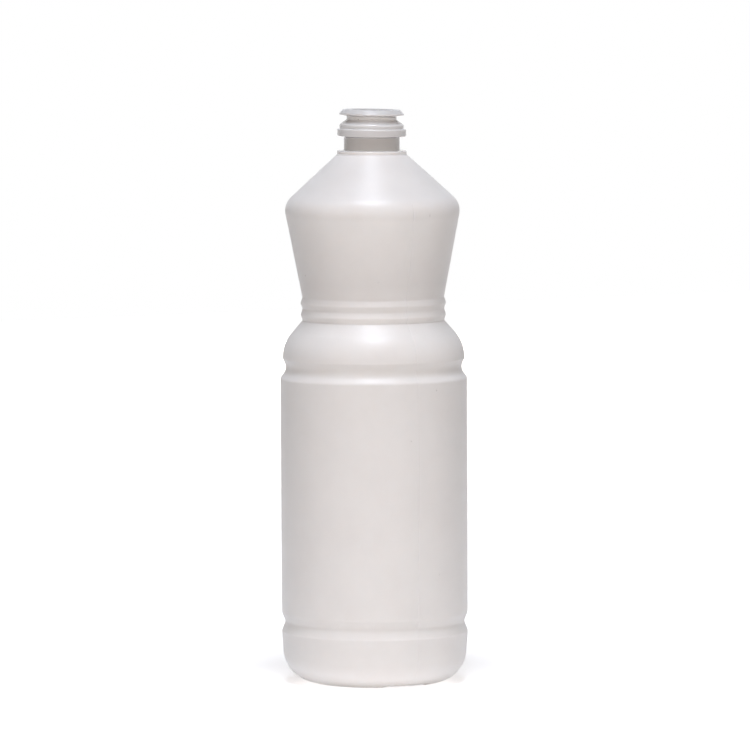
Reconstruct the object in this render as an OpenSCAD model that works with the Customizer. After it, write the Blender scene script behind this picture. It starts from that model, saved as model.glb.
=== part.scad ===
// Blow-moulded household bottle with an open push-on neck, in millimetres.
// +Z runs up the bottle, and the origin is the centre of the floor that it stands on.
// The wall is one revolved section: an outline of corners, each with its own rounding,
// and the same outline set in by the wall. The mould halves part on the plane x = 0.

/* [Body] */
// Outside diameter of the label panel
body_d = 76; // [72:0.5:82]
// Height of the label panel, between its two grooves
panel_h = 96; // [60:0.5:140]
// Rounding of the panel's upper edge
panel_top_round = 2.2; // [0.5:0.1:3]
// Rounding of the panel's lower edge
panel_foot_round = 2.8; // [0.5:0.1:5]
// Wall of the blown body
wall = 0.9; // [0.6:0.1:1.3]

/* [Base] */
// Height of the base band, from the floor to the lower groove
base_h = 20.7; // [17:0.1:40]
// Draft of the base band: how far it draws in from the panel at the floor
base_draft = 1.5; // [0.5:0.1:2.5]
// Rounding of the heel
heel_round = 13; // [8:0.5:14]
// Rounding of the base band's upper rim
rim_round = 1.2; // [0.5:0.1:3]
// Inside diameter of the flat ring that the bottle stands on
foot_inner_d = 44; // [36:0.5:46]
// Rise of the pushed-up middle of the base
push_up = 3.5; // [2.5:0.25:6]
// Diameter of the level middle of the push-up
push_up_d = 16; // [8:1:24]
// Rounding of the push-up where it turns level
push_up_round = 20; // [6:1:24]
// Wall of the base
base_wall = 1.6; // [1.3:0.1:2.4]

/* [Pinch-off] */
// Width of the channel that keeps the pinch-off weld clear of the floor
channel_w = 20; // [10:1:30]
// Depth of the channel, where it crosses the foot ring
channel_depth = 0.7; // [0.3:0.1:1]
// Length of the pinch-off weld under the base
weld_length = 32; // [20:1:34]
// Width of the weld
weld_w = 1.4; // [0.8:0.1:3]
// Height of the weld below the base
weld_h = 0.5; // [0.2:0.1:0.8]

/* [Grooves] */
// Height of the groove under the label panel
lower_groove_h = 7.7; // [6:0.1:12]
// Depth of the lower groove, to its sharp corner
lower_groove_depth = 1.5; // [0.5:0.1:2.5]
// Height of the lower groove's corner above the base band
lower_groove_at = 4; // [3.5:0.1:5.5]
// Rounding of the lower groove
lower_groove_round = 2; // [0.5:0.1:4]
// Height of the groove over the label panel
upper_groove_h = 7.7; // [6.5:0.1:12]
// Depth of the upper groove, to its sharp corner
upper_groove_depth = 2.9; // [1.5:0.1:3.5]
// Height of the upper groove's corner above the panel
upper_groove_at = 3.6; // [3:0.1:4.5]
// Rounding of the upper groove
upper_groove_round = 4.4; // [1:0.1:5]

/* [Dome] */
// Diameter of the dome over the upper groove
dome_d = 74; // [70:0.5:76]
// Height of the dome, from the upper groove to the ribs
dome_h = 15.5; // [14:0.5:22]
// Height of the dome's upright side, to its sharp corner
dome_side_h = 6.1; // [5:0.1:7]
// Rounding of the dome's lower edge
dome_foot_round = 1; // [0.5:0.1:2]
// Rounding over the dome's shoulder
dome_round = 15; // [8:0.5:15]

/* [Grip] */
// Diameter at the valleys beside the ribs, which is the narrowest of the grip
waist_d = 57.6; // [52:0.5:60]
// Number of ribs round the grip
rib_count = 2; // [1:1:4]
// Height from one rib to the next
rib_pitch = 4.7; // [4:0.1:7]
// Height that the ribs stand out from the valleys, to their sharp corners
rib_depth = 0.8; // [0.4:0.1:1.2]
// Rounding of the ribs and the valleys between them
rib_round = 1.3; // [0.5:0.1:1.8]
// Height of the flared grip, from the ribs to the shoulder
grip_h = 37.9; // [25:0.5:60]

/* [Shoulder] */
// Diameter at the shoulder's sharp corner
shoulder_d = 72.2; // [66:0.5:80]
// Height of the cone, from the shoulder's sharp corner to the collar
cone_h = 20.2; // [16:0.5:30]
// Rounding of the shoulder
shoulder_round = 7.8; // [3:0.1:10]

/* [Neck] */
// Diameter of the collar that the closure comes down to
collar_d = 28.2; // [26:0.1:32]
// Height of the collar
collar_h = 1.5; // [1:0.1:3]
// Diameter of the neck between the collar and the snap ring
neck_d = 22.7; // [21:0.1:25]
// Height of the neck between the collar and the snap ring
neck_h = 5.4; // [4:0.1:10]
// Diameter of the snap ring that holds the closure
ring_d = 28; // [26.5:0.1:30]
// Height of the snap ring's upright side
ring_h = 3; // [2:0.1:5]
// Height of the sloping face under the snap ring
ring_under_h = 0.5; // [0.2:0.1:1.2]
// Diameter of the step on top of the snap ring
step_d = 26.1; // [24:0.1:26.4]
// Height of the step
step_h = 1.7; // [0.6:0.1:3]
// Height of the lead-in cone over the step
lead_in_h = 2.1; // [1:0.1:4]
// Rounding between the lead-in cone and the step
lead_in_round = 0.9; // [0.2:0.1:1.1]
// Diameter of the groove under the lip
lip_groove_d = 20.3; // [19.5:0.1:22.5]
// Height of the groove under the lip
lip_groove_h = 1.3; // [1:0.1:3]
// Rounding of the neck's edges
neck_round = 0.4; // [0.1:0.05:0.45]

/* [Lip] */
// Diameter of the lip
lip_d = 26.2; // [24:0.1:27]
// Diameter of the lip's flat top
lip_top_d = 23.2; // [20:0.1:23.5]
// Height of the sloping face under the lip
lip_under_h = 0.6; // [0.3:0.1:1.5]
// Height of the lip's upright edge
lip_edge_h = 0.5; // [0.4:0.1:1.5]
// Height of the bevel over the lip's edge
lip_bevel_h = 1.7; // [0.5:0.1:2]
// Rounding of the lip's edges
lip_round = 0.25; // [0.05:0.05:0.3]
// Diameter of the mouth's straight bore
mouth_d = 17.5; // [14:0.1:18]
// Rounding of the mouth's inner edge
mouth_round = 0.4; // [0.1:0.1:0.8]
// Height of the bore's lower end over the collar's foot
throat_rise = 1.9; // [0.5:0.1:2.4]
// Rounding where the bore opens into the shoulder
throat_round = 4; // [1:0.5:8]

/* [Hidden] */
// Turn of the outline from one point of a rounding to the next, in degrees
ARC_STEP = 8;
// Turn under which a corner counts as straight, in degrees
STRAIGHT = 0.01;
$fn = 96;

body_r = body_d / 2;
dome_r = dome_d / 2;
waist_r = waist_d / 2;
shoulder_r = shoulder_d / 2;
mouth_r = mouth_d / 2;

// Heights of the body's sections above the floor
lower_groove_z = base_h;
panel_z = lower_groove_z + lower_groove_h;
upper_groove_z = panel_z + panel_h;
dome_z = upper_groove_z + upper_groove_h;
ribs_z = dome_z + dome_h;
grip_z = ribs_z + rib_count * rib_pitch;
shoulder_z = grip_z + grip_h;

// Heights of the neck's sections above the floor
collar_z = shoulder_z + cone_h;
neck_z = collar_z + collar_h;
ring_under_z = neck_z + neck_h;
ring_z = ring_under_z + ring_under_h;
step_z = ring_z + ring_h;
lead_in_z = step_z + step_h;
lip_groove_z = lead_in_z + lead_in_h;
lip_under_z = lip_groove_z + lip_groove_h;
lip_edge_z = lip_under_z + lip_under_h;
lip_bevel_z = lip_edge_z + lip_edge_h;
bottle_h = lip_bevel_z + lip_bevel_h;

// Corners of the outside as [radius, height, rounding], from the middle of the base upwards
under_corners = [
    [0, push_up, 0],
    [push_up_d / 2, push_up, push_up_round],
    [foot_inner_d / 2, 0, 0],
];
body_corners = [
    [body_r - base_draft, 0, heel_round],
    [body_r, lower_groove_z, rim_round],
    [body_r - lower_groove_depth, lower_groove_z + lower_groove_at, lower_groove_round],
    [body_r, panel_z, panel_foot_round],
    [body_r, upper_groove_z, panel_top_round],
    [body_r - upper_groove_depth, upper_groove_z + upper_groove_at, upper_groove_round],
    [dome_r, dome_z, dome_foot_round],
    [dome_r, dome_z + dome_side_h, dome_round],
    [waist_r, ribs_z, 0],
    for (i = [0:rib_count - 1]) each [
        [waist_r + rib_depth, ribs_z + (i + 0.5) * rib_pitch, rib_round],
        [waist_r, ribs_z + (i + 1) * rib_pitch, rib_round],
    ],
    [shoulder_r, shoulder_z, shoulder_round],
];
neck_corners = [
    [collar_d / 2, collar_z, 0],
    [collar_d / 2, neck_z, neck_round],
    [neck_d / 2, neck_z, 0],
    [neck_d / 2, ring_under_z, 0],
    [ring_d / 2, ring_z, neck_round],
    [ring_d / 2, step_z, neck_round],
    [step_d / 2, step_z, 0],
    [step_d / 2, lead_in_z, lead_in_round],
    [lip_groove_d / 2, lip_groove_z, 0],
    [lip_groove_d / 2, lip_under_z, 0],
    [lip_d / 2, lip_edge_z, lip_round],
    [lip_d / 2, lip_bevel_z, lip_round],
    [lip_top_d / 2, bottle_h, lip_round],
];
blown_corners = concat(under_corners, body_corners);

// Corners of the inside, from the mouth downwards to the middle of the base
mouth_corners = [
    [mouth_r, bottle_h, mouth_round],
    [mouth_r, collar_z + throat_rise, throat_round],
];
inner_corners = [
    for (i = [len(blown_corners) - 1:-1:1]) inset_corner(i),
    [0, push_up + base_wall, 0],
];

function unit(v) = v / norm(v);
function left_of(v) = [-v.y, v.x];
function at(corner) = [corner[0], corner[1]];

// Next corner of the outside after corner i of the blown part
function after(i) = i + 1 < len(blown_corners) ? blown_corners[i + 1] : neck_corners[0];

// Wall inside the outline's side that starts at corner i: the floor's sides are thicker
function side_wall(i) = i < len(under_corners) ? base_wall : wall;

// Corner i of the blown part set in by the walls of its two sides.
// Its rounding keeps the wall even: tighter inside a bulge and wider inside a groove.
function inset_corner(i) =
    let (
        here = at(blown_corners[i]),
        along_in = unit(here - at(blown_corners[i - 1])),
        along_out = unit(at(after(i)) - here),
        m = left_of(along_in),
        n = left_of(along_out),
        wall_in = side_wall(i - 1),
        wall_out = side_wall(i),
        det = cross(m, n),
        shift = abs(det) < sin(STRAIGHT)
            ? m * wall_in
            : [wall_in * n.y - wall_out * m.y, wall_out * m.x - wall_in * n.x] / det,
        wall_here = (wall_in + wall_out) / 2,
        rounding = blown_corners[i][2] - sign(det) * wall_here
    )
    [here.x + shift.x, here.y + shift.y, max(rounding, 0)];

// Half of the angle between a corner's two sides
function half_angle(a, p, b) = acos(unit(a - p) * unit(b - p)) / 2;

// Length that the rounding of corner i takes up on each of its sides
function reach(corners, i) =
    i == 0 || i == len(corners) - 1
        ? 0
        : corners[i][2] / tan(half_angle(at(corners[i - 1]), at(corners[i]), at(corners[i + 1])));

// Share of their roundings that corners i and i + 1 can have on the side between them
function side_share(corners, i) =
    let (
        room = norm(at(corners[i + 1]) - at(corners[i])),
        wanted = reach(corners, i) + reach(corners, i + 1)
    )
    wanted > room ? room / wanted : 1;

// Points of one corner: the corner itself, or an arc that meets both sides smoothly
function corner_points(a, p, b, rounding) =
    let (
        u = unit(a - p),
        v = unit(b - p),
        half = half_angle(a, p, b),
        centre = p + unit(u + v) * rounding / sin(half),
        spoke = p + u * rounding / tan(half) - centre,
        turn = (180 - 2 * half) * sign(cross(v, u)),
        steps = ceil(abs(turn) / ARC_STEP)
    )
    rounding == 0 || abs(turn) < STRAIGHT ? [p] : [
        for (k = [0:steps])
            let (c = cos(turn * k / steps), s = sin(turn * k / steps))
            centre + [c * spoke.x - s * spoke.y, s * spoke.x + c * spoke.y]
    ];

// Outline through a list of corners, which starts and ends at plain points
function outline(corners) = [
    at(corners[0]),
    for (i = [1:len(corners) - 2])
        let (share = min(side_share(corners, i - 1), side_share(corners, i)))
        each corner_points(
            at(corners[i - 1]), at(corners[i]), at(corners[i + 1]), corners[i][2] * share
        ),
    at(corners[len(corners) - 1]),
];

// The blown wall and the solid neck finish, as one revolved section
module wall_of_revolution() {
    section = concat(blown_corners, neck_corners, mouth_corners, inner_corners);
    rotate_extrude() polygon(outline(section));
}

// Channel across the foot ring, along the parting plane
module pinch_channel() {
    translate([-channel_w / 2, -body_r, -channel_depth])
        cube([channel_w, body_d, 2 * channel_depth]);
}

// Weld where the mould closed the end of the tube: a low bar that follows the push-up
module pinch_weld() {
    under = outline(under_corners);
    top = [for (i = [len(under) - 1:-1:0]) under[i] + [0, base_wall / 2]];
    bottom = [for (p = under) p - [0, weld_h]];
    intersection() {
        rotate_extrude() polygon(concat(bottom, top));
        translate([-weld_w / 2, -weld_length / 2, 0])
            cube([weld_w, weld_length, push_up + base_wall]);
    }
}

module bottle() {
    color("gainsboro") {
        difference() {
            wall_of_revolution();
            pinch_channel();
        }
        pinch_weld();
    }
}

bottle();
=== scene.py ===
import math
import bpy
from mathutils import Matrix, Vector, noise


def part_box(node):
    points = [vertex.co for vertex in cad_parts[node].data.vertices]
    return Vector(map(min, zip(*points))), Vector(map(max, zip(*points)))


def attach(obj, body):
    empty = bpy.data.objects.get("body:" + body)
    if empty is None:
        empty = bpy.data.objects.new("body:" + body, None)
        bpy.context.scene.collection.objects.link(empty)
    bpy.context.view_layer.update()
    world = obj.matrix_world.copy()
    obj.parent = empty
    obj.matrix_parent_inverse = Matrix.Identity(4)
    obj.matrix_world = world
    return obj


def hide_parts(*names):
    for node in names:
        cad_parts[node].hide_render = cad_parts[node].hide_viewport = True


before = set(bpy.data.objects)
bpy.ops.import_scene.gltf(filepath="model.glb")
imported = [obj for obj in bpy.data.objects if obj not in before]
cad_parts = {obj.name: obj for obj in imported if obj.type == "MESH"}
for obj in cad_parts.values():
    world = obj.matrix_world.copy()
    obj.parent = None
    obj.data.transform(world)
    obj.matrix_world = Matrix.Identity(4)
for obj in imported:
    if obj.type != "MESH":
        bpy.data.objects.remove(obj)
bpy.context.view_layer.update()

# Sizes are in millimetres, unless a heading says metres, and angles in degrees. MM brings them to metres.
MM = 0.001

# The bottle's own sizes that the frame gives
low_corner, high_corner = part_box("bottle")
BODY_R = (high_corner.x - low_corner.x) / 2 / MM
BOTTLE_H = high_corner.z / MM

# Walls of the blown body and of its base
WALL = 0.9
BASE_WALL = 1.6

# Corners of the outside as radius, height and rounding, from the middle of the base upwards
UNDER = [(0, 3.5, 0), (8, 3.5, 20), (22, 0, 1)]
BODY = [
    (BODY_R - 1.5, 0, 13),  # heel
    (BODY_R, 20.7, 1.2),  # groove below the label panel
    (BODY_R - 1.5, 24.7, 2),
    (BODY_R, 28.4, 2.8),
    (BODY_R, 124.4, 2.2),  # groove above the label panel
    (BODY_R - 2.9, 128, 4.4),
    (BODY_R - 1, 132.1, 1),
    (BODY_R - 1, 138.2, 15),  # dome
    (28.8, 147.6, 0.5),  # two ribs
    (29.6, 149.95, 1.3),
    (28.8, 152.3, 1.3),
    (29.6, 154.65, 1.3),
    (28.8, 157, 1.3),
    (36.1, 194.9, 7.8),  # shoulder, above the flared grip
]
COLLAR_Z = BOTTLE_H - 18.3
NECK = [
    (14.1, COLLAR_Z, 0.6),  # collar
    (14.1, COLLAR_Z + 1.5, 0.4),
    (11.35, COLLAR_Z + 1.5, 0.3),
    (11.35, COLLAR_Z + 6.9, 0.2),
    (14, COLLAR_Z + 7.4, 0.4),  # push-on ring, with a step and a cone above it
    (14, COLLAR_Z + 10.4, 0.4),
    (13.05, COLLAR_Z + 10.4, 0.15),
    (13.05, COLLAR_Z + 12.1, 0.9),
    (10.15, COLLAR_Z + 14.2, 0.3),
    (10.15, COLLAR_Z + 15.5, 0.3),
    (13.1, COLLAR_Z + 16.1, 0.25),  # lip
    (13.1, COLLAR_Z + 16.6, 0.25),
    (11.6, BOTTLE_H, 0.25),
]
MOUTH = [(8.75, BOTTLE_H, 0.4), (8.75, COLLAR_Z + 1.9, 4)]

# Fineness of the mesh: turn between points of a rounding, and the longest straight stretch
OUTER_TURN, OUTER_STRETCH = 5, 3
INNER_TURN, INNER_STRETCH = 12, 10
SIDE_END = 0.15
COLUMN_STEP = 2.5
TOUCHING = 1e-6

# The mould halves part at -Y and +Y: a fine ridge, in a shallow flat that keeps it inside the box.
# The mesh's own columns for it, and for the channel below, are turns from the parting plane.
RIDGE_H = 0.12
RIDGE_HALF_W = 0.3
FLAT_DEPTH = 0.15
FLAT_HALF_TURN = 14
RIDGE_COLUMNS = (0.2, 0.45, 0.8)
SEAM_FOOT_FROM, SEAM_FOOT_TO = 2, 8
SEAM_TOP_FROM, SEAM_TOP_TO = 192, 200

# Channel across the foot along Y, and the pinch-off weld in it
CHANNEL_HALF_W = 10
CHANNEL_DEPTH = 1.1
CHANNEL_COLUMN = 22.5
CHANNEL_SIDE = 0.4
WARP_FROM, WARP_TO = 1.2, 5
WELD_HALF_L, WELD_HALF_W, WELD_H = 16, 0.7, 0.5
WELD_RUN_OUT, WELD_BLEND = 1, 0.15
PUSH_UP_SLACK = 0.01

# Slight faults of the real bottle: the lip's trim, the heel, the lean and the neck's tilt
TRIM_WAVE, TRIM_NICK, TRIM_DEPTH = 0.15, 0.14, 0.5
WAVE_RATE, NICK_RATE, NICK_SHIFT = 1.5, 9, Vector((3, 5, 7))
HEEL_TILT, FOOT_R = 0.35, 24.6
HEEL_FROM, HEEL_TO = 4, 34
TOP_LEAN, LEAN_FROM = 0.4, 125
NECK_TILT, TILT_FROM, TILT_DROP = 1.3, 208, 10

# Milky plastic: two colours with a mottle between them, and how light spreads in it
MILK_DEEP = (0.80, 0.777, 0.767, 1)
MILK_PALE = (0.825, 0.803, 0.793, 1)
MOTTLE_SCALE, MOTTLE_DETAIL, MOTTLE_ROUGHNESS = 70, 3, 0.55
MOTTLE_FROM, MOTTLE_TO = 0.3, 0.7
MILK_DEPTH = 1.6
MILK_SPREAD = (0.94, 0.9, 0.88)
MILK_IOR = 1.5

# Tone of the colour by height: partly the wall's thickness, and partly painted shade and light. It paints
# shade on the neck under the push-on ring, on the lower grip under the shoulder and on the shoulder cone.
# It paints light on the heel by the floor and in the groove under the lip.
WALL_AND_SHADING_TONES = [
    (0, 1.2), (5, 1.1), (10, 1.03), (31, 1), (124, 0.985), (140, 0.985), (146.5, 0.99), (150, 1),
    (157, 0.925), (163, 0.895), (176, 0.975), (189, 1.055), (193, 0.97), (200, 0.885), (211, 0.89),
    (216.3, 0.92), (216.8, 0.635), (221.8, 0.635), (222.4, 0.765), (225.5, 0.775), (227, 0.81),
    (229.2, 0.86), (230.7, 0.86), (231.2, 0.71),
]

# From the push-on ring up, the colour is a little cooler
RING_FROM = 222
RING_TINT = (0.985, 1, 1.015)

# Satin skin: the range of its roughness, the patches in it, and the fine grain
ROUGH_LOW, ROUGH_HIGH = 0.32, 0.44
SHEEN_SCALE, SHEEN_DETAIL = 260, 2
GRAIN_SCALE, GRAIN_DETAIL = 1100, 2
GRAIN_STRENGTH, GRAIN_DEPTH = 0.06, 0.2

# Share of that roughness by height: a smoother cone, a smooth neck, and a lip that is rougher again
GLOSS_STEPS = [(0, 1), (192, 1), (200, 0.85), (214.5, 0.85), (216, 0.29), (230.5, 0.29), (231, 0.88)]

# Inputs and output of a Mix node that mixes colours
MIX_FIRST, MIX_SECOND, MIX_RESULT = 6, 7, 2

# Dark specks in the plastic: radius, height and turn from the camera's side, then size and stretch
SPECK_COLOUR = (0.2, 0.17, 0.15, 1)
SPECKS = [
    (10.15, 229.4, -34.2, 0.45, 1),
    (34.5, 195.8, 70.7, 0.4, 1),
    (30.7, 166.6, -63.4, 0.35, 1),
    (30.3, 164.7, 3.9, 0.2, 1),
    (38, 101, 23.3, 0.3, 1),
    (38, 121, 41.6, 0.3, 1),
    (38, 46.4, 43.5, 0.22, 1),
    (35.2, 191, 40.5, 0.14, 12),
]

# Rays that see the white background
SEEN_RAYS = ("Is Camera Ray", "Is Glossy Ray", "Is Transmission Ray")

# Room: its light, which fades upwards, and the white backdrop behind the bottle
ROOM = 0.475
ROOM_COLOUR = (1.1, 1, 0.95)
ROOM_TONES = [(0, 1), (0.25, 1), (0.5, 0)]
BACKDROP_HALF_TURN, BACKDROP_BLUR = 16, 6

# Floor: its size and the table's reach in metres, and its glow by distance in millimetres. The glow is
# brighter close round the foot. That is a painted pool of light for light that comes through the base,
# and it also shows in the heel's reflections.
FLOOR_SIZE = 4
FLOOR_WHITE = (0.95, 0.95, 0.95, 1)
FLOOR_DIM = (0.3, 0.3, 0.3, 1)
TABLE_NEAR, TABLE_FAR = 0.25, 0.4
FLOOR_TINT = (1, 0.98, 0.985)
FLOOR_GLOWS_AND_POOL = [(0, 0.78), (28, 0.76), (34, 0.48), (75, 0.41), (110, 0.5), (220, 0.95)]
# The painted pool of light round the foot is centred this far towards the camera's side
GLOW_FORWARD = 8

# Lamps: power in watts, distance and size in metres, turn from the camera's side
LAMP_TARGET = Vector((0, 0, 0.13))
OVERHEAD_POWER = 7
OVERHEAD_UP, OVERHEAD_TURN, OVERHEAD_FAR = 71, 0, 1
OVERHEAD_SIZE = (0.42, 0.7)
OVERHEAD_COLOUR = (0.92, 0.98, 1.09)
FILL_POWER = 19.3
FILL_UP, FILL_TURN, FILL_FAR = 6, 2, 2
FILL_SIZE = (1.8, 0.56)
FILL_COLOUR = (1, 0.898, 0.812)
BACK_POWER = 4
BACK_UP, BACK_TURN, BACK_FAR = 6, 180, 2
BACK_SIZE = (0.3, 0.3)

# Camera: a long lens far off, in millimetres and degrees
LENS, SENSOR = 288, 36
CAMERA_FAR = 2441.8
CAMERA_CLIP = 20000
CAMERA_DOWN = 4.5
CAMERA_ROLL = -0.26
TARGET_RIGHT, TARGET_HEIGHT = 0.5, 125.1

# The camera stands to the left of the parting plane
CAMERA_TURN = 28.2
right = Vector((math.cos(math.radians(CAMERA_TURN)), -math.sin(math.radians(CAMERA_TURN)), 0))
ahead = Vector((math.sin(math.radians(CAMERA_TURN)), math.cos(math.radians(CAMERA_TURN)), 0))


def smooth(value, start, end):
    """0 before start, 1 after end, with a soft change between them."""
    t = min(max((value - start) / (end - start), 0), 1)
    return t * t * (3 - 2 * t)


def unit_2d(a, b):
    """Direction from a to b in the section, with the distance."""
    dx, dz = b[0] - a[0], b[1] - a[1]
    length = math.hypot(dx, dz)
    return dx / length, dz / length, length


def half_angle(a, p, b):
    """Half of the angle between the two sides of corner p, in radians."""
    ux, uz, _ = unit_2d(p, a)
    vx, vz, _ = unit_2d(p, b)
    return math.acos(max(-1, min(1, ux * vx + uz * vz))) / 2


def reaches(corners):
    """Length that each corner's rounding takes on its sides, shared out where a side is short."""
    wanted = [0] * len(corners)
    for i in range(1, len(corners) - 1):
        wanted[i] = corners[i][2] / math.tan(half_angle(corners[i - 1], corners[i], corners[i + 1]))
    share = [1] * len(corners)
    for i in range(len(corners) - 1):
        room = unit_2d(corners[i], corners[i + 1])[2]
        both = wanted[i] + wanted[i + 1]
        if both > room:
            share[i] = min(share[i], room / both)
            share[i + 1] = min(share[i + 1], room / both)
    return [w * s for w, s in zip(wanted, share)]


def rounding_points(a, p, b, reach, turn_step):
    """Points of an arc at corner p that meets both sides smoothly."""
    ux, uz, _ = unit_2d(p, a)
    vx, vz, _ = unit_2d(p, b)
    half = half_angle(a, p, b)
    radius = reach * math.tan(half)
    away = radius / math.sin(half)
    mx, mz = ux + vx, uz + vz
    size = math.hypot(mx, mz)
    cx, cz = p[0] + mx / size * away, p[1] + mz / size * away
    sx, sz = p[0] + ux * reach - cx, p[1] + uz * reach - cz
    turn = (math.pi - 2 * half) * (1 if vx * uz - vz * ux > 0 else -1)
    steps = max(2, math.ceil(math.degrees(abs(turn)) / turn_step))
    points = []
    for k in range(steps + 1):
        c, s = math.cos(turn * k / steps), math.sin(turn * k / steps)
        points.append((cx + c * sx - s * sz, cz + s * sx + c * sz))
    return points


def side_points(a, b, stretch):
    """Points between a and b on a straight side, with one close to each end."""
    dx, dz, length = unit_2d(a, b)
    if length < 3 * SIDE_END:
        return []
    count = math.ceil((length - 2 * SIDE_END) / stretch)
    gaps = [SIDE_END + (length - 2 * SIDE_END) * k / count for k in range(count + 1)]
    return [(a[0] + dx * g, a[1] + dz * g) for g in gaps]


def outline(corners, turn_step, stretch):
    """Section through a list of corners, with its roundings as arcs."""
    reach = reaches(corners)
    stops = [[corners[0][:2]]]
    for i in range(1, len(corners) - 1):
        if reach[i] < TOUCHING:
            stops.append([corners[i][:2]])
        else:
            stops.append(rounding_points(corners[i - 1], corners[i], corners[i + 1], reach[i], turn_step))
    stops.append([corners[-1][:2]])
    points = list(stops[0])
    for stop in stops[1:]:
        points += side_points(points[-1], stop[0], stretch)
        if math.dist(points[-1], stop[0]) < TOUCHING:
            points.pop()
        points += stop
    return points


def inset(corners, following):
    """The blown part's corners set in by the wall, from the shoulder down to the base."""
    chain = corners + [following]
    inner = []
    for i in range(len(corners) - 1, 0, -1):
        ax, az, _ = unit_2d(chain[i - 1], chain[i])
        bx, bz, _ = unit_2d(chain[i], chain[i + 1])
        wall_in = BASE_WALL if i - 1 < len(UNDER) else WALL
        wall_out = BASE_WALL if i < len(UNDER) else WALL
        det = ax * bz - az * bx
        radius, height, rounding = chain[i]
        inner_radius = radius + (wall_in * bx - wall_out * ax) / det
        inner_height = height + (wall_in * bz - wall_out * az) / det
        inner_round = rounding - math.copysign((wall_in + wall_out) / 2, det)
        inner.append((inner_radius, inner_height, max(inner_round, 0)))
    return inner + [(0, UNDER[0][1] + BASE_WALL, 0)]


def column_turns():
    """Columns of the mesh as seam (-1 at -Y, 1 at +Y), side of the seam and turn from it."""
    turns = {COLUMN_STEP * k for k in range(1, round(90 / COLUMN_STEP))}
    turns |= set(RIDGE_COLUMNS)
    turns |= {CHANNEL_COLUMN - CHANNEL_SIDE, CHANNEL_COLUMN + CHANNEL_SIDE}
    turns = sorted(turns - {CHANNEL_COLUMN})
    columns = []
    for seam in (-1, 1):
        columns += [(seam, -1, 90)]
        columns += [(seam, -1, t) for t in reversed(turns)]
        columns += [(seam, 1, 0)]
        columns += [(seam, 1, t) for t in turns]
    return columns


def channel_turn(turn, radius, height):
    """Turn of a column from the seam, drawn to the channel's straight sides near the floor."""
    pull = 1 - smooth(height, WARP_FROM, WARP_TO)
    if pull == 0 or radius <= CHANNEL_HALF_W:
        return turn
    side = math.degrees(math.asin(CHANNEL_HALF_W / radius))
    if turn <= CHANNEL_COLUMN:
        drawn = turn * side / CHANNEL_COLUMN
    else:
        drawn = side + (turn - CHANNEL_COLUMN) * (90 - side) / (90 - CHANNEL_COLUMN)
    return turn + pull * (drawn - turn)


def seam_step(arc, turn, height):
    """How far the outside draws in beside the parting line."""
    fade = smooth(height, SEAM_FOOT_FROM, SEAM_FOOT_TO) * (1 - smooth(height, SEAM_TOP_FROM, SEAM_TOP_TO))
    flat = 1 - smooth(turn, 0, FLAT_HALF_TURN)
    ridge = 1 - smooth(arc, 0, RIDGE_HALF_W)
    return fade * (FLAT_DEPTH * flat - RIDGE_H * ridge)


def weld_drop(x, y):
    """How far the pinch-off weld stands down from the push-up."""
    across = 1 - smooth(abs(x), WELD_HALF_W - WELD_BLEND, WELD_HALF_W + WELD_BLEND)
    along = 1 - smooth(abs(y), WELD_HALF_L - WELD_RUN_OUT, WELD_HALF_L)
    return WELD_H * across * along


def lip_trim(angle, height):
    """How far the knife took the lip's top down at this angle."""
    near_top = smooth(height, BOTTLE_H - TRIM_DEPTH, BOTTLE_H)
    around = Vector((math.cos(angle), math.sin(angle), 0))
    wave = (1 + noise.noise(around * WAVE_RATE)) / 2
    nick = max(0, noise.noise(around * NICK_RATE + NICK_SHIFT))
    return near_top * (TRIM_WAVE * wave + TRIM_NICK * nick)


def warped(x, y, z):
    """The slight bend of the real bottle: a lifted heel, a leaning top and a tilted neck."""
    sideways = x * right.x + y * right.y
    lift = math.tan(math.radians(HEEL_TILT)) * (FOOT_R - sideways) * (1 - smooth(z, HEEL_FROM, HEEL_TO))
    lean = TOP_LEAN * smooth(z, LEAN_FROM, BOTTLE_H)
    tilt = math.tan(math.radians(NECK_TILT)) * max(0, z - TILT_FROM) / (BOTTLE_H - TILT_FROM)
    x -= right.x * lean
    y -= right.y * lean
    return x, y, min(z + lift - tilt * (sideways + TILT_DROP), BOTTLE_H)


def skin_point(radius, height, column, outside):
    """One point of the bottle's skin, in millimetres."""
    seam, side, turn = column
    if outside:
        turn = channel_turn(turn, radius, height)
        arc = radius * math.radians(turn)
        radius -= seam_step(arc, turn, height)
    angle = math.radians(seam * 90 + side * turn)
    x, y = radius * math.cos(angle), radius * math.sin(angle)
    if outside:
        if column[2] < CHANNEL_COLUMN:
            height = max(height, CHANNEL_DEPTH)
        if height < UNDER[0][1] + PUSH_UP_SLACK and radius < WELD_HALF_L + WELD_RUN_OUT:
            height -= weld_drop(x, y)
        height -= lip_trim(angle, height)
    return warped(x, y, height)


def wall_faces(rings, count):
    """Faces between rings of points, with one point at each end that closes them."""
    faces = []
    last_ring = 1 + (rings - 1) * count
    last = 1 + rings * count
    for k in range(count):
        after = (k + 1) % count
        faces.append((0, 1 + after, 1 + k))
        faces.append((last, last_ring + k, last_ring + after))
        for ring in range(rings - 1):
            start = 1 + ring * count
            faces.append((start + k, start + after, start + count + after, start + count + k))
    return faces


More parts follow.
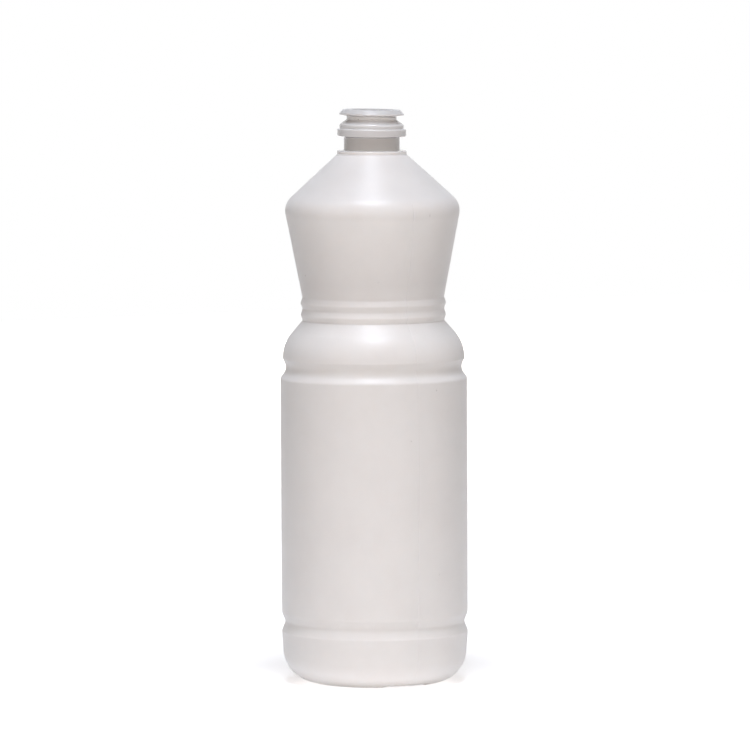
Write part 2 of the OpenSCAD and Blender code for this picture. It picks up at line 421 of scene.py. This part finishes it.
def bottle_mesh():
    """The whole wall as one closed mesh: outside up to the lip, and back down the inside."""
    lip_middle = ((NECK[-1][0] + MOUTH[0][0]) / 2, BOTTLE_H, 0)
    blown = UNDER + BODY
    outer = outline(blown + NECK + [lip_middle], OUTER_TURN, OUTER_STRETCH)
    inner = outline([lip_middle] + MOUTH + inset(blown, NECK[0]), INNER_TURN, INNER_STRETCH)
    rows = [(p, True) for p in outer] + [(p, False) for p in inner[1:]]
    columns = column_turns()
    vertices = [warped(0, 0, rows[0][0][1] - WELD_H)]
    for (radius, height), outside in rows[1:-1]:
        vertices += [skin_point(radius, height, c, outside) for c in columns]
    vertices.append(warped(0, 0, rows[-1][0][1]))
    faces = wall_faces(len(rows) - 2, len(columns))
    mesh = bpy.data.meshes.new("bottle_skin")
    mesh.from_pydata([Vector(v) * MM for v in vertices], [], faces)
    mesh.polygons.foreach_set("use_smooth", [True] * len(faces))
    mesh.validate()
    mesh.update()
    return mesh


def link(tree, source, output, target, name):
    """Connect one node's output to another node's input."""
    tree.links.new(source.outputs[output], target.inputs[name])


def add(tree, kind, **inputs):
    """A shader node with some of its inputs set."""
    made = tree.nodes.new(kind)
    for name, value in inputs.items():
        made.inputs[name.replace("_", " ")].default_value = value
    return made


def reckon(tree, operation, first, second):
    """One step of arithmetic on two node outputs."""
    made = tree.nodes.new("ShaderNodeMath")
    made.operation = operation
    tree.links.new(first, made.inputs[0])
    tree.links.new(second, made.inputs[1])
    return made.outputs[0]


def greatest(tree, *outputs):
    """The greatest of some node outputs."""
    most = outputs[0]
    for output in outputs[1:]:
        most = reckon(tree, "MAXIMUM", most, output)
    return most


def vector_step(tree, operation, place, second=None):
    """One step of vector arithmetic on a node output, with its second value set."""
    made = tree.nodes.new("ShaderNodeVectorMath")
    made.operation = operation
    tree.links.new(place, made.inputs[0])
    if second is not None:
        made.inputs[1].default_value = second
    return made


def ramp_stops(ramp, stops, tint=(1, 1, 1)):
    """The stops of a colour ramp, from pairs of place and tone."""
    while len(ramp.color_ramp.elements) < len(stops):
        ramp.color_ramp.elements.new(1)
    for stop, (position, tone) in zip(ramp.color_ramp.elements, stops):
        stop.position = position
        stop.color = [tone * share for share in tint] + [1]


def two_colours(tree, share, first, second):
    """A ramp between two colours, each given as its place on the ramp and the colour."""
    ramp = tree.nodes.new("ShaderNodeValToRGB")
    for stop, (position, colour) in zip(ramp.color_ramp.elements, (first, second)):
        stop.position = position
        stop.color = colour
    tree.links.new(share, ramp.inputs["Fac"])
    return ramp


def height_ramp(tree, place, stops):
    """A grey ramp up the bottle, from pairs of height and tone."""
    axes = tree.nodes.new("ShaderNodeSeparateXYZ")
    share = add(tree, "ShaderNodeMapRange", From_Max=BOTTLE_H * MM)
    ramp = tree.nodes.new("ShaderNodeValToRGB")
    link(tree, place, "Object", axes, 0)
    link(tree, axes, "Z", share, "Value")
    link(tree, share, "Result", ramp, "Fac")
    ramp_stops(ramp, [(height / BOTTLE_H, tone) for height, tone in stops])
    return ramp


def specks(tree, place):
    """0 inside the dark specks and 1 outside them."""
    clear = None
    for radius, height, turn, size, stretch in SPECKS:
        side = math.radians(turn)
        level = right * math.sin(side) - ahead * math.cos(side)
        spot = (level * radius + Vector((0, 0, height / stretch))) * MM
        squeeze = vector_step(tree, "MULTIPLY", place.outputs["Object"], (1, 1, 1 / stretch))
        away = vector_step(tree, "DISTANCE", squeeze.outputs["Vector"], spot)
        soft = add(tree, "ShaderNodeMapRange", From_Max=size * MM)
        link(tree, away, "Value", soft, "Value")
        outside = soft.outputs["Result"]
        clear = outside if clear is None else reckon(tree, "MINIMUM", clear, outside)
    return clear


def milk_colour(tree, place):
    """The mottled milky colour, toned by height for the wall's thickness and for painted shade and light,
    with the specks in it.
    """
    mottle = add(
        tree, "ShaderNodeTexNoise",
        Scale=MOTTLE_SCALE, Detail=MOTTLE_DETAIL, Roughness=MOTTLE_ROUGHNESS,
    )
    link(tree, place, "Object", mottle, "Vector")
    shade = two_colours(tree, mottle.outputs["Fac"], (MOTTLE_FROM, MILK_DEEP), (MOTTLE_TO, MILK_PALE))
    # The height tones hold the wall's thickness and painted shade and light.
    thickness_and_shading = height_ramp(tree, place, WALL_AND_SHADING_TONES)
    for stop in thickness_and_shading.color_ramp.elements:
        if stop.position * BOTTLE_H > RING_FROM:
            stop.color = [tone * share for tone, share in zip(stop.color, RING_TINT)] + [1]
    toned = tree.nodes.new("ShaderNodeMix")
    toned.data_type = "RGBA"
    toned.blend_type = "MULTIPLY"
    toned.inputs["Factor"].default_value = 1
    tree.links.new(shade.outputs["Color"], toned.inputs[MIX_FIRST])
    tree.links.new(thickness_and_shading.outputs["Color"], toned.inputs[MIX_SECOND])
    speckled = tree.nodes.new("ShaderNodeMix")
    speckled.data_type = "RGBA"
    speckled.inputs[MIX_FIRST].default_value = SPECK_COLOUR
    tree.links.new(specks(tree, place), speckled.inputs["Factor"])
    tree.links.new(toned.outputs[MIX_RESULT], speckled.inputs[MIX_SECOND])
    return speckled.outputs[MIX_RESULT]


def satin(tree, place):
    """Roughness of the skin: slightly uneven, and different by height."""
    sheen = add(tree, "ShaderNodeTexNoise", Scale=SHEEN_SCALE, Detail=SHEEN_DETAIL)
    gloss = add(tree, "ShaderNodeMapRange", To_Min=ROUGH_LOW, To_Max=ROUGH_HIGH)
    link(tree, place, "Object", sheen, "Vector")
    link(tree, sheen, "Fac", gloss, "Value")
    by_height = height_ramp(tree, place, GLOSS_STEPS)
    return reckon(tree, "MULTIPLY", gloss.outputs["Result"], by_height.outputs["Color"])


def grain(tree, place):
    """The fine grain of the mould's surface, as a bump."""
    peel = add(tree, "ShaderNodeTexNoise", Scale=GRAIN_SCALE, Detail=GRAIN_DETAIL)
    bump = add(tree, "ShaderNodeBump", Strength=GRAIN_STRENGTH, Distance=GRAIN_DEPTH * MM)
    link(tree, place, "Object", peel, "Vector")
    link(tree, peel, "Fac", bump, "Height")
    return bump.outputs["Normal"]


def milky_plastic():
    """Natural polyethylene: milky, faintly mottled, greyer where it is thick, with painted shade and
    light by height, and a satin skin.
    """
    material = bpy.data.materials.new("milky_plastic")
    material.use_nodes = True
    tree = material.node_tree
    shader = tree.nodes["Principled BSDF"]
    place = tree.nodes.new("ShaderNodeTexCoord")
    tree.links.new(milk_colour(tree, place), shader.inputs["Base Color"])
    tree.links.new(satin(tree, place), shader.inputs["Roughness"])
    tree.links.new(grain(tree, place), shader.inputs["Normal"])
    shader.inputs["IOR"].default_value = MILK_IOR
    shader.inputs["Subsurface Weight"].default_value = 1
    shader.inputs["Subsurface Radius"].default_value = MILK_SPREAD
    shader.inputs["Subsurface Scale"].default_value = MILK_DEPTH * MM
    return material


def make_bottle():
    """The one piece: the bottle's skin, which replaces the solid."""
    mesh = bottle_mesh()
    mesh.materials.append(milky_plastic())
    bottle = bpy.data.objects.new("bottle_skin", mesh)
    bpy.context.scene.collection.objects.link(bottle)
    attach(bottle, "root")
    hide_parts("bottle")


def backdrop(tree, place):
    """1 towards the backdrop behind the bottle, and 0 elsewhere, with a soft edge."""
    level = vector_step(tree, "MULTIPLY", place.outputs["Generated"], (1, 1, 0))
    unit = vector_step(tree, "NORMALIZE", level.outputs["Vector"])
    behind = vector_step(tree, "DOT_PRODUCT", unit.outputs["Vector"], ahead)
    edge = math.cos(math.radians(BACKDROP_HALF_TURN + BACKDROP_BLUR))
    full = math.cos(math.radians(BACKDROP_HALF_TURN - BACKDROP_BLUR))
    share = add(tree, "ShaderNodeMapRange", From_Min=edge, From_Max=full)
    link(tree, behind, "Value", share, "Value")
    return share.outputs["Result"]


def make_world():
    """White to the camera and in reflections. It lights as a soft grey room with a white backdrop."""
    world = bpy.data.worlds.new("studio")
    world.use_nodes = True
    bpy.context.scene.world = world
    tree = world.node_tree
    tree.nodes.clear()
    place = tree.nodes.new("ShaderNodeTexCoord")
    rise = tree.nodes.new("ShaderNodeSeparateXYZ")
    tones = tree.nodes.new("ShaderNodeValToRGB")
    ramp_stops(tones, ROOM_TONES, ROOM_COLOUR)
    room = add(tree, "ShaderNodeBackground", Strength=ROOM)
    white = add(tree, "ShaderNodeBackground", Color=(1, 1, 1, 1), Strength=1)
    mix = tree.nodes.new("ShaderNodeMixShader")
    out = tree.nodes.new("ShaderNodeOutputWorld")
    link(tree, place, "Generated", rise, 0)
    link(tree, rise, "Z", tones, "Fac")
    link(tree, tones, "Color", room, "Color")
    path = tree.nodes.new("ShaderNodeLightPath")
    rays = [path.outputs[name] for name in SEEN_RAYS]
    tree.links.new(greatest(tree, *rays, backdrop(tree, place)), mix.inputs[0])
    link(tree, room, 0, mix, 1)
    link(tree, white, 0, mix, 2)
    link(tree, mix, 0, out, 0)


def lighting_floor(tree, place):
    """The floor that lights the bottle: a white table that darkens away from it."""
    far = vector_step(tree, "LENGTH", place.outputs["Object"])
    reach = two_colours(tree, far.outputs["Value"], (TABLE_NEAR, FLOOR_WHITE), (TABLE_FAR, FLOOR_DIM))
    table = tree.nodes.new("ShaderNodeBsdfDiffuse")
    link(tree, reach, "Color", table, "Color")
    return table


def seen_floor(tree, place):
    """The floor that is seen: white, with a glow that leaves the shadow and paints a pool of light round
    the foot, centred towards the camera.
    """
    paper = add(tree, "ShaderNodeBsdfDiffuse", Color=FLOOR_WHITE)
    away = vector_step(tree, "DISTANCE", place.outputs["Object"], -ahead * GLOW_FORWARD * MM)
    glows_and_pool = tree.nodes.new("ShaderNodeValToRGB")
    ramp_stops(glows_and_pool, [(distance * MM, tone) for distance, tone in FLOOR_GLOWS_AND_POOL], FLOOR_TINT)
    glow = add(tree, "ShaderNodeEmission", Strength=1)
    both = tree.nodes.new("ShaderNodeAddShader")
    link(tree, away, "Value", glows_and_pool, "Fac")
    link(tree, glows_and_pool, "Color", glow, "Color")
    link(tree, paper, 0, both, 0)
    link(tree, glow, 0, both, 1)
    return both


def make_floor():
    """White table top: it keeps the soft shadow, and glows to white where it is seen, with a painted pool
    of light round the foot.
    """
    half = FLOOR_SIZE / 2
    corners = [(-half, -half, 0), (half, -half, 0), (half, half, 0), (-half, half, 0)]
    mesh = bpy.data.meshes.new("floor")
    mesh.from_pydata(corners, [], [(0, 1, 2, 3)])
    floor = bpy.data.objects.new("floor", mesh)
    bpy.context.scene.collection.objects.link(floor)
    material = bpy.data.materials.new("white_floor")
    material.use_nodes = True
    tree = material.node_tree
    tree.nodes.clear()
    place = tree.nodes.new("ShaderNodeTexCoord")
    path = tree.nodes.new("ShaderNodeLightPath")
    mix = tree.nodes.new("ShaderNodeMixShader")
    out = tree.nodes.new("ShaderNodeOutputMaterial")
    rays = [path.outputs[name] for name in SEEN_RAYS]
    tree.links.new(greatest(tree, *rays), mix.inputs[0])
    link(tree, lighting_floor(tree, place), 0, mix, 1)
    link(tree, seen_floor(tree, place), 0, mix, 2)
    link(tree, mix, 0, out, 0)
    mesh.materials.append(material)


def make_lamp(name, elevation, turn, distance, size, power, colour, in_gloss):
    """A soft lamp that looks at the bottle, turned about it from the camera's side."""
    lamp = bpy.data.lights.new(name, "AREA")
    lamp.shape = "ELLIPSE"
    lamp.size, lamp.size_y = size
    lamp.energy = power
    lamp.color = colour
    box = bpy.data.objects.new(name, lamp)
    bpy.context.scene.collection.objects.link(box)
    up = math.radians(elevation)
    swing = math.radians(turn)
    level = -ahead * math.cos(swing) + right * math.sin(swing)
    towards = level * math.cos(up) + Vector((0, 0, math.sin(up)))
    box.location = LAMP_TARGET + towards * distance
    box.rotation_euler = towards.to_track_quat("Z", "Y").to_euler()
    box.visible_glossy = in_gloss


def make_lamps():
    """One lamp above, which shows in the gloss, and soft fills in front and behind, which don't."""
    make_lamp(
        "overhead_box", OVERHEAD_UP, OVERHEAD_TURN, OVERHEAD_FAR,
        OVERHEAD_SIZE, OVERHEAD_POWER, OVERHEAD_COLOUR, True,
    )
    make_lamp("back_fill", BACK_UP, BACK_TURN, BACK_FAR, BACK_SIZE, BACK_POWER, FILL_COLOUR, False)
    make_lamp("front_fill", FILL_UP, FILL_TURN, FILL_FAR, FILL_SIZE, FILL_POWER, FILL_COLOUR, False)


def make_camera():
    """The photograph's view: far off, a little above the bottle's middle."""
    camera = bpy.data.cameras.new("camera")
    camera.lens = LENS
    camera.sensor_width = SENSOR
    camera.clip_end = CAMERA_CLIP * MM
    eye = bpy.data.objects.new("camera", camera)
    bpy.context.scene.collection.objects.link(eye)
    down = math.radians(CAMERA_DOWN)
    looking = ahead * math.cos(down) - Vector((0, 0, math.sin(down)))
    target = right * TARGET_RIGHT * MM + Vector((0, 0, TARGET_HEIGHT * MM))
    eye.location = target - looking * CAMERA_FAR * MM
    turn = looking.to_track_quat("-Z", "Y").to_matrix()
    roll = Matrix.Rotation(math.radians(CAMERA_ROLL), 3, "Z")
    eye.rotation_euler = (turn @ roll).to_euler()
    bpy.context.scene.camera = eye


make_camera()
make_bottle()
make_world()
make_floor()
make_lamps()
bpy.context.scene.view_settings.view_transform = "Standard"
